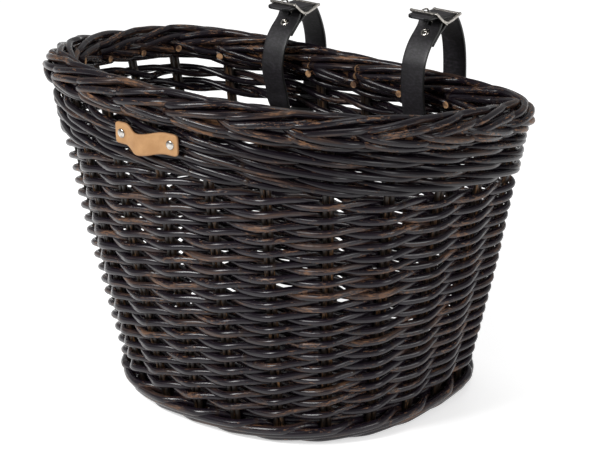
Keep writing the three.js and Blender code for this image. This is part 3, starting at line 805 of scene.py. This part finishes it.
def baseRods(graph, own):
    lines, index, rod = rodLines(own.points, own.rods)
    y = (rod + own.firstRow) * own.pitch - own.front
    atBack = graph.calc("GREATER_THAN", y, 0.0)
    power = between(own.frontPower, own.backPower, atBack)
    along = graph.calc("POWER", graph.calc("ABSOLUTE", y) / between(own.front, own.back, atBack), power)
    width = graph.calc("POWER", graph.calc("MAXIMUM", 1.0 - along, 0.0), 1.0 / power)
    x = (index / (own.points - 1.0) * 2.0 - 1.0) * (own.half * width)
    z = own.level + graph.calc("COSINE", (x / own.stickPitch + rod) * math.pi) * own.wave
    radius = own.rodRadius * (1.0 + wander(x * 8.0, rod, 0.06))
    return dressRods(sweepRods(lines, graph.combine(x, y, z), radius, rod * 1.1))


matRows = int((baseMat["front"] + baseMat["back"]) / baseMat["pitch"])
growRods("baseMat", baseRods, baseMat, lacqueredRattan, "base_mat", rods=matRows)
print("rattan grown")


# Swept bands and tubes in plain mesh code

def meshPiece(name, build, material):
    bmesh.ops.recalc_face_normals(build, faces=build.faces)
    mesh = bpy.data.meshes.new(name)
    build.to_mesh(mesh)
    build.free()
    mesh.materials.append(material)
    for polygon in mesh.polygons:
        polygon.use_smooth = True
    piece = bpy.data.objects.new(name, mesh)
    scene.collection.objects.link(piece)
    return piece


# smooth curve through points, as in the part
def smoothPath(points, steps):
    made = []
    last = len(points) - 1
    for step in range(steps + 1):
        place = last * step / steps
        low = min(int(place), last - 1)
        t = place - low
        p0 = points[low if low == 0 else low - 1]
        p1, p2 = points[low], points[low + 1]
        p3 = points[last if low > last - 2 else low + 2]
        v0, v1 = (p2 - p0) * 0.5, (p3 - p1) * 0.5
        cubic = p1 * 2 - p2 * 2 + v0 + v1
        square = p2 * 3 - p1 * 3 - v0 * 2 - v1
        made.append(cubic * t ** 3 + square * t ** 2 + v0 * t + p1)
    return made


# section of a band: across its width and through its thickness, with rounded edges
def bandSection(half, thick, edge, spans):
    side = []
    for corner, (sx, st) in enumerate(((1, -1), (1, 1), (-1, 1), (-1, -1))):
        for step in range(4):
            angle = math.radians(-90 + 90 * corner + 30 * step)
            x = sx * (half - edge) + edge * math.cos(angle)
            side.append((x, st * (thick / 2 - edge) + edge * math.sin(angle)))
        if corner in (1, 3):
            for span in range(1, spans):
                x = (half - edge) * (1 - 2 * span / spans) * (1 if corner == 1 else -1)
                side.append((x, st * thick / 2))
    return side


def lineAt(path, place):
    return (path[min(place + 1, len(path) - 1)] - path[max(place - 1, 0)]).normalized()


def joinRings(build, rings):
    count = len(rings[0])
    for first, second in zip(rings, rings[1:]):
        for place in range(count):
            after = (place + 1) % count
            build.faces.new((first[place], first[after], second[after], second[place]))
    build.faces.new(rings[0])
    build.faces.new(list(reversed(rings[-1])))


# a spot of a side view, which lies in the y-z plane
def upright(spot, x=0.0):
    return Vector((x, spot.x, spot.y))


# path is in the side view, and the band's width along x
def sweepBand(build, path, half, thick, edge, middle, spans=6, tip=None):
    section = bandSection(half, thick, edge, spans)
    rings = []
    lengths = [0.0]
    for first, second in zip(path, path[1:]):
        lengths.append(lengths[-1] + (second - first).length)
    layers = build.verts.layers.float
    along = layers.get("along") or layers.new("along")
    across = layers.get("across") or layers.new("across")
    for place, point in enumerate(path):
        line = lineAt(path, place)
        normal = Vector((-line.y, line.x))
        narrow = tip(lengths[-1] - lengths[place]) if tip else 1.0
        ring = []
        for x, t in section:
            vertex = build.verts.new(middle + upright(point + normal * t, x * narrow))
            vertex[along] = lengths[place]
            vertex[across] = x / half
            ring.append(vertex)
        rings.append(ring)
    joinRings(build, rings)


def sweepTube(build, path, radius, middle, sides=16, flat=1.0):
    rings = []
    angles = [math.tau * k / sides for k in range(sides)]
    for place, point in enumerate(path):
        line = lineAt(path, place)
        normal = Vector((0, -line.z, line.y)) if abs(line.x) < 0.9 else up
        other = line.cross(normal).normalized()
        size = radius(place / (len(path) - 1))
        rings.append([
            build.verts.new(middle + point + normal * size * flat * math.cos(a) + other * size * math.sin(a))
            for a in angles])
    joinRings(build, rings)


# how far a rounded corner takes the edge back, at a distance from the end
def cornerCut(corner, left):
    return corner - math.sqrt(max(corner ** 2 - (corner - left) ** 2, 0.0)) if left < corner else 0.0


build = bmesh.new()
stickNodes = [f"base_stick_{n + 1}" for n in range(baseSticks["count"])]
for node in stickNodes:
    low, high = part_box(node)
    shares = [step / baseSticks["steps"] for step in range(baseSticks["steps"] + 1)]
    run = [Vector((low.y + (high.y - low.y) * share, baseSticks["height"] / 2)) for share in shares]
    sweepBand(build, run, baseSticks["width"] / 2, baseSticks["height"], baseSticks["edge"],
              Vector(((low.x + high.x) / 2, 0, 0)))
settle(meshPiece("baseSticks", build, stakeRattan), "basket", "stake_rattan", *stickNodes)


# Straps: leather loops round the border, folded over the middle bar of the buckle and riveted

strap = dict(
    width=0.025, thick=0.0025, gap=0.0003, edge=0.0007, loopRadius=0.028, belly=0.0335, bellyDrop=0.005,
    shoulderInner=0.0165, shoulderOuter=0.0205, roundUpper=(0.0052, 0.004), roundLower=(0.0013, -0.0075),
    taperLower=0.002, taperUpper=0.004, buckleHeight=0.0455, barAxis=-0.002, foldLength=0.024, foldThroat=0.009,
    foldStep=0.0025, foldSlope=math.radians(41.0), tipReach=0.024, tipCorner=0.005, rivetAlong=0.014, baysAside=1.5,
)
buckle = dict(
    barRadius=0.0014, barSteps=20, barEnd=0.0004, spreadFront=0.0137, spreadRear=0.021, liftFront=0.0117,
    liftRear=0.0045, plate=0.0019, plateHeight=0.0027, plateEdge=0.0006, plateEnd=0.0012, sideGap=0.0005,
    slotFront=0.0075, slotRear=0.006, slotWidth=0.0042, slotDepth=0.012, slotLift=0.0041,
)
prong = dict(radius=0.0011, eyeHalf=0.0015, eyeWall=0.0011, eyeEdge=0.0004, eyeSteps=24, sides=14, flat=0.8)
joints = {joint["name"]: Vector(joint["pos_m"]) for joint in frame["joints"]}
foldDown = Vector((-math.cos(strap["foldSlope"]), -math.sin(strap["foldSlope"])))
foldFace = Vector((foldDown.y, -foldDown.x))


# side view of a strap, from the fold round the border to the tip
def strapLines(rise, pivot):
    bar = Vector((strap["barAxis"], strap["buckleHeight"] + rise))
    front = bar + Vector((-buckle["spreadFront"], buckle["liftFront"]))
    rear = bar + Vector((buckle["spreadRear"], buckle["liftRear"]))
    wrap = buckle["barRadius"] + strap["gap"] + strap["thick"] / 2
    layer = (strap["thick"] + strap["gap"]) / 2
    radius, belly, throat = strap["loopRadius"], strap["belly"], strap["foldThroat"]
    shoulder = strap["shoulderInner"] + rise

    def onFold(along, out):
        return bar + foldDown * along + foldFace * out

    path = [onFold(strap["foldLength"] - n * strap["foldStep"], -layer) for n in range(5)]
    path += smoothPath([onFold(throat + 0.003, -layer), onFold(throat, -layer), onFold(0.003, -wrap * 0.97)], 8)[1:]
    for n in range(17):
        angle = math.pi * n / 16
        path.append(onFold(-wrap * math.sin(angle), -wrap * math.cos(angle)))
    path += smoothPath([
        onFold(0.003, wrap * 0.97), onFold(throat, layer), onFold(strap["foldLength"], layer),
        Vector((strap["roundUpper"][0] - belly, shoulder + strap["roundUpper"][1])),
        Vector((strap["roundLower"][0] - belly, shoulder + strap["roundLower"][1])),
        Vector((-belly, rise / 2 - strap["bellyDrop"])), Vector((-radius, pivot)),
    ], 60)
    for n in range(1, 24):
        angle = math.pi + math.pi * n / 24
        path.append(Vector((radius * math.cos(angle), pivot + radius * math.sin(angle))))
    over = wrap + strap["thick"] + strap["gap"]
    path += smoothPath([
        Vector((radius, pivot)), Vector((belly - strap["taperLower"], rise / 2 - strap["bellyDrop"])),
        Vector((belly - strap["taperUpper"], strap["shoulderOuter"] + rise)), rear + Vector((-0.35 * wrap, -wrap)),
        bar + Vector((0.005, over - 0.0006)), bar + Vector((-0.0015, over)), front + Vector((0.2 * wrap, -wrap)),
        front + Vector((buckle["spreadFront"] - strap["tipReach"], -wrap)),
    ], 84)
    return bar, front, rear, path, onFold(strap["rivetAlong"], layer + strap["thick"] / 2 + strap["gap"] * 0.3)


def squareTip(left):
    return 1.0 - cornerCut(strap["tipCorner"], left) / (strap["width"] / 2)


def cutAway(piece, middle, size):
    build = bmesh.new()
    bmesh.ops.create_cube(build, size=1.0, matrix=Matrix.Translation(middle) @ Matrix.Diagonal((*size, 1)))
    cutter = meshPiece("slotCutter", build, blackLeather)
    modifier = piece.modifiers.new("cut", "BOOLEAN")
    modifier.object = cutter
    modifier.solver = "EXACT"
    flatten(piece)
    bpy.data.objects.remove(cutter)


# Rivets: a domed head on a short shank with a flange on the far side

strapRivet = dict(head=0.0042, dome=0.0018, rim=0.0005, hollow=0.0021, depth=0.0014, shank=0.0019, grip=0.0059,
                  tail=0.0032, flange=0.0008)
rivetBevel = 0.0002


def rivetMesh(name, shape):
    own = SimpleNamespace(**shape)
    angles = [math.radians(angle) for angle in range(0, 91, 9)]
    line = [(own.head * math.sin(a), own.rim + (own.dome - own.rim) * math.cos(a)) for a in angles]
    if own.hollow:
        floor = own.dome - own.depth
        mouth = [point for point in line if point[0] > own.hollow]
        wallTop = (own.hollow - rivetBevel / 2, mouth[0][1] - rivetBevel * 1.5)
        line = [(0.0, floor), (own.hollow - rivetBevel * 2, floor), wallTop] + mouth
    near, far = -own.grip, -own.grip - own.flange
    line += [
        (own.head, own.rim * 0.3), (own.head - own.rim * 0.4, 0.0), (own.shank, 0.0), (own.shank, near),
        (own.tail - rivetBevel, near), (own.tail, near - rivetBevel), (own.tail, far + rivetBevel),
        (own.tail - rivetBevel * 1.5, far), (0.0, far),
    ]
    build = bmesh.new()
    points = [build.verts.new((r, 0, z)) for r, z in line]
    for first, second in zip(points, points[1:]):
        build.edges.new((first, second))
    bmesh.ops.spin(build, geom=build.verts[:] + build.edges[:], cent=(0, 0, 0), axis=up,
                   angle=math.tau, steps=28, use_merge=True)
    bmesh.ops.remove_doubles(build, verts=build.verts, dist=1e-7)
    return meshPiece(name, build, nickel)


def setRivets(graph, own):
    shape = graph.take(graph.node("GeometryNodeObjectInfo", {"Object": own.rivet}), "Geometry")
    facing = graph.node("GeometryNodeInputNamedAttribute", {"Name": "facing"}, data_type="FLOAT_VECTOR")
    turn = graph.make("FunctionNodeAlignRotationToVector", {"Vector": graph.take(facing, "Attribute")}, axis="Z")
    points = graph.make("GeometryNodeMeshToPoints", {"Mesh": own.places})
    studs = graph.make("GeometryNodeInstanceOnPoints", {"Points": points, "Instance": shape, "Rotation": turn})
    studs = graph.make("GeometryNodeRealizeInstances", {"Geometry": studs})
    return graph.make("GeometryNodeSetMaterial", {"Geometry": studs, "Material": own.finish})


def growRivet(name, pattern, place, outward):
    spots = bpy.data.meshes.new(name)
    spots.from_pydata([place], [], [])
    spots.attributes.new("facing", "FLOAT_VECTOR", "POINT").data[0].vector = outward
    return grow(name, setRivets, dict(places=None, rivet=pattern, finish=nickel), spots)


strapPattern = rivetMesh("strapRivetPattern", strapRivet)
print("patterns made")

for name, side in (("left", -1), ("right", 1)):
    share = 0.5 - side * strap["baysAside"] / wall["stakes"]
    middle = wallPoint(share, rimHeight(share), border["axisOut"])[0]
    rise = joints[f"{name}_prong_lift"].z - middle.z - strap["buckleHeight"]
    bar, front, rear, path, rivetSeat = strapLines(rise, joints[f"{name}_strap_swing"].z - middle.z)
    loopBody = f"{name}_strap_loop"

    build = bmesh.new()
    sweepBand(build, path, strap["width"] / 2, strap["thick"], strap["edge"], middle, 8, squareTip)
    leather = meshPiece(f"{name}Strap", build, blackLeather)
    slot = bar + Vector(((buckle["slotRear"] - buckle["slotFront"]) / 2, buckle["slotLift"]))
    cutAway(leather, middle + upright(slot),
            (buckle["slotWidth"], buckle["slotFront"] + buckle["slotRear"], buckle["slotDepth"]))
    settle(leather, loopBody, "black_leather", f"{name}_strap")

    stud = growRivet(f"{name}StrapRivet", strapPattern, middle + upright(rivetSeat), upright(foldFace))
    settle(stud, loopBody, "nickel", f"{name}_strap_rivet")

    build = bmesh.new()
    plateMiddle = (strap["width"] + buckle["plate"]) / 2 + buckle["sideGap"]
    reach = plateMiddle + buckle["plate"] / 2 + buckle["barEnd"]
    for place in (front, bar, rear):
        run = [upright(place, reach * (2 * n / buckle["barSteps"] - 1)) for n in range(buckle["barSteps"] + 1)]
        sweepTube(build, run, lambda t: buckle["barRadius"] * (1.0 if 0.01 < t < 0.99 else 0.75), middle)
    bend = smoothPath([front, front.lerp(bar, 0.7), bar.lerp(rear, 0.2), rear], 24)
    nose, heel = ((end - bar).normalized() * buckle["plateEnd"] for end in (front, rear))
    bend = [front + nose] + bend + [rear + heel]
    for end in (-1, 1):
        sweepBand(build, bend, buckle["plate"] / 2, buckle["plateHeight"], buckle["plateEdge"],
                  middle + Vector((end * plateMiddle, 0, 0)), 2)
    settle(meshPiece(f"{name}BuckleFrame", build, nickel), loopBody, "nickel", f"{name}_buckle_frame")

    build = bmesh.new()
    bore = buckle["barRadius"] + strap["gap"]
    turns = [math.tau * n / prong["eyeSteps"] for n in range(prong["eyeSteps"] + 1)]
    ring = [bar + Vector((math.cos(turn), math.sin(turn))) * (bore + prong["eyeWall"] / 2) for turn in turns]
    sweepBand(build, ring, prong["eyeHalf"], prong["eyeWall"], prong["eyeEdge"], middle, 2)
    over = bore + prong["radius"]
    tongue = smoothPath([
        bar + Vector((-0.0008, bore + 0.0005)), bar + Vector((-0.0045, 0.0065)),
        front + Vector((0.005, over - 0.001)), front + Vector((0, over)), front + Vector((-0.0042, over - 0.0002)),
    ], 32)
    sweepTube(build, [upright(spot) for spot in tongue],
              lambda t: prong["radius"] * (1.15 - 0.45 * t) * (0.6 if t > 0.99 else 1.0),
              middle, prong["sides"], prong["flat"])
    settle(meshPiece(f"{name}BuckleProng", build, nickel), f"{name}_prong", "nickel", f"{name}_buckle_prong")
bpy.data.objects.remove(strapPattern)
print("straps and buckles made")


# Tag: a bare strip of tan leather, slack between two rivets at the front

tag = dict(
    length=0.069, height=0.019, thick=0.0022, shift=0.0018, sag=0.0057, slackAt=-0.33, bulge=0.003,
    rivetSpacing=0.054, drop=0.02708, dropSlope=0.0096, face=0.01129, corner=0.0042, crownReach=0.0008,
    crownDepth=0.0005, edgeReach=0.0022, columns=66, rows=14,
)
tagRivet = dict(head=0.0040, dome=0.0017, rim=0.0004, hollow=0.0, shank=0.0014, grip=2 * tag["face"], tail=0.0044,
                flange=0.001)


def tagShare(along):
    return (tag["shift"] + along) / rimTable[1][-1]


def onTag(share, out):
    return wallPoint(share, rimHeight(share) - tag["drop"] + tag["dropSlope"] * share, tag["face"] + out)


def tagSpot(along, upward, out):
    part = along / (tag["rivetSpacing"] / 2 - tagRivet["head"]) - tag["slackAt"]
    part /= 1 - tag["slackAt"] if part > 0 else 1 + tag["slackAt"]
    slack = math.cos(math.pi / 2 * min(abs(part), 1)) ** 2
    return onTag(tagShare(along), tag["bulge"] * slack + out)[0] + up * (upward - tag["sag"] * slack)


def makeTag():
    build = bmesh.new()
    edgeMask = build.verts.layers.float.new("edge")
    half, tall = tag["length"] / 2, tag["height"] / 2
    columns, rows = tag["columns"], tag["rows"]
    grids = []
    for out, inward in ((0.0, 1), (tag["thick"], -1)):
        grid = []
        for column in range(columns + 1):
            along = -half + tag["length"] * column / columns
            left = half - abs(along)
            reach = tall - cornerCut(tag["corner"], left)
            line = []
            for row in range(rows + 1):
                upward = reach * (2 * row / rows - 1)
                near = min(tall - abs(upward), left)
                crown = max(0.0, 1 - near / tag["crownReach"])
                vertex = build.verts.new(tagSpot(along, upward, out + inward * tag["crownDepth"] * crown ** 2))
                vertex[edgeMask] = max(0.0, 1 - near / tag["edgeReach"])
                line.append(vertex)
            grid.append(line)
        grids.append(grid)
        for first, second in zip(grid, grid[1:]):
            for row in range(rows):
                build.faces.new((first[row], second[row], second[row + 1], first[row + 1]))
    back, face = grids
    for row in (0, rows):
        for column in range(columns):
            build.faces.new((back[column][row], back[column + 1][row], face[column + 1][row], face[column][row]))
    for column in (0, columns):
        for row in range(rows):
            build.faces.new((back[column][row], back[column][row + 1], face[column][row + 1], face[column][row]))
    return meshPiece("leatherTag", build, tanLeather)


settle(makeTag(), "basket", "tan_leather", "leather_tag")
tagPattern = rivetMesh("tagRivetPattern", tagRivet)
for name, side in (("left", -1), ("right", 1)):
    place, outward = onTag(tagShare(side * tag["rivetSpacing"] / 2), tag["thick"])
    stud = growRivet(f"{name}TagRivet", tagPattern, place, outward)
    settle(stud, "basket", "nickel", f"tag_rivet_{name}")
for helper in (tagPattern, rimGuide, baseGuide):
    bpy.data.objects.remove(helper)
print("tag made")


# Floor, light and camera

studio = dict(floorSize=8.0, floorColour=0.86, floorMottle=0.01, floorRough=0.8, floorShine=0.1, floorGlow=0.55,
              ambient=0.33)
lamps = {
    "keyLamp": dict(energy=33.0, size=0.7, place=(-0.5, -1.6, 1.5), aim=(0, 0, 0.15)),
    "fillLamp": dict(energy=12.0, size=0.8, place=(1.9, -0.3, 0.9), aim=(0, 0, 0.15)),
    "topLamp": dict(energy=8.0, size=0.9, place=(0.2, 0.5, 2.2), aim=(0, 0, 0.1)),
}


def seenBy(graph, *rays):
    path = graph.node("ShaderNodeLightPath")
    seen = graph.take(path, "Is Camera Ray")
    for ray in rays:
        seen = graph.calc("MAXIMUM", seen, graph.take(path, ray))
    return seen


def makeFloor():
    build = bmesh.new()
    bmesh.ops.create_grid(build, x_segments=1, y_segments=1, size=studio["floorSize"] / 2)
    material, graph, shader = newFinish("paleFloor")
    tone = graph.noise(graph.objectPlace(), 3.0)
    tones = [[studio["floorColour"] + more] * 3 for more in (0.0, studio["floorMottle"])]
    graph.feed(shader.inputs["Base Color"], colourMix(tone, *tones))
    shader.inputs["Roughness"].default_value = studio["floorRough"]
    shader.inputs["Specular IOR Level"].default_value = studio["floorShine"]
    shader.inputs["Emission Color"].default_value = (1, 1, 1, 1)
    seen = seenBy(graph, "Is Glossy Ray", "Is Transmission Ray")
    graph.feed(shader.inputs["Emission Strength"], seen * studio["floorGlow"])
    meshPiece("floor", build, material)


def makeWorld():
    world = bpy.data.worlds.new("studioWorld")
    scene.world = world
    world.use_nodes = True
    graph = Graph(world.node_tree)
    backdrop = next(n for n in world.node_tree.nodes if n.type == "BACKGROUND")
    backdrop.inputs["Color"].default_value = (1, 1, 1, 1)
    seen = seenBy(graph, "Is Transmission Ray")
    graph.feed(backdrop.inputs["Strength"], graph.ramp(seen, 0.0, 1.0, studio["ambient"], 1.0, smooth=False))


def addLamp(name, energy, size, place, aim):
    lamp = bpy.data.lights.new(name, "AREA")
    lamp.energy = energy
    lamp.size = size
    holder = bpy.data.objects.new(name, lamp)
    holder.location = place
    holder.rotation_mode = "QUATERNION"
    holder.rotation_quaternion = (Vector(aim) - Vector(place)).to_track_quat("-Z", "Y")
    scene.collection.objects.link(holder)


makeFloor()
makeWorld()
for name, look in lamps.items():
    addLamp(name, **look)

shot = dict(azimuth=39.48, elevation=20.95, distance=2.021, roll=-1.19, lens=133.1, sensor=36.0,
            target=(0, 0, 0.1535), aside=0.00255, below=0.0094)


def makeCamera():
    a, e = math.radians(shot["azimuth"]), math.radians(shot["elevation"])
    back = Vector((math.sin(a) * math.cos(e), -math.cos(a) * math.cos(e), math.sin(e)))
    right = (-back).cross(up).normalized()
    above = right.cross(-back)
    roll = math.radians(shot["roll"])
    across = right * math.cos(roll) + above * math.sin(roll)
    upward = above * math.cos(roll) - right * math.sin(roll)
    target = Vector(shot["target"])
    place = target + back * shot["distance"]
    look = (target + across * shot["aside"] - upward * shot["below"] - place).normalized()
    across = look.cross(upward).normalized()
    upward = across.cross(look)
    data = bpy.data.cameras.new("photoCamera")
    data.lens = shot["lens"]
    data.sensor_width = shot["sensor"]
    holder = bpy.data.objects.new("photoCamera", data)
    holder.matrix_world = Matrix.Translation(place) @ Matrix((across, upward, -look)).transposed().to_4x4()
    scene.collection.objects.link(holder)
    scene.camera = holder


makeCamera()
scene.view_settings.view_transform = "Standard"
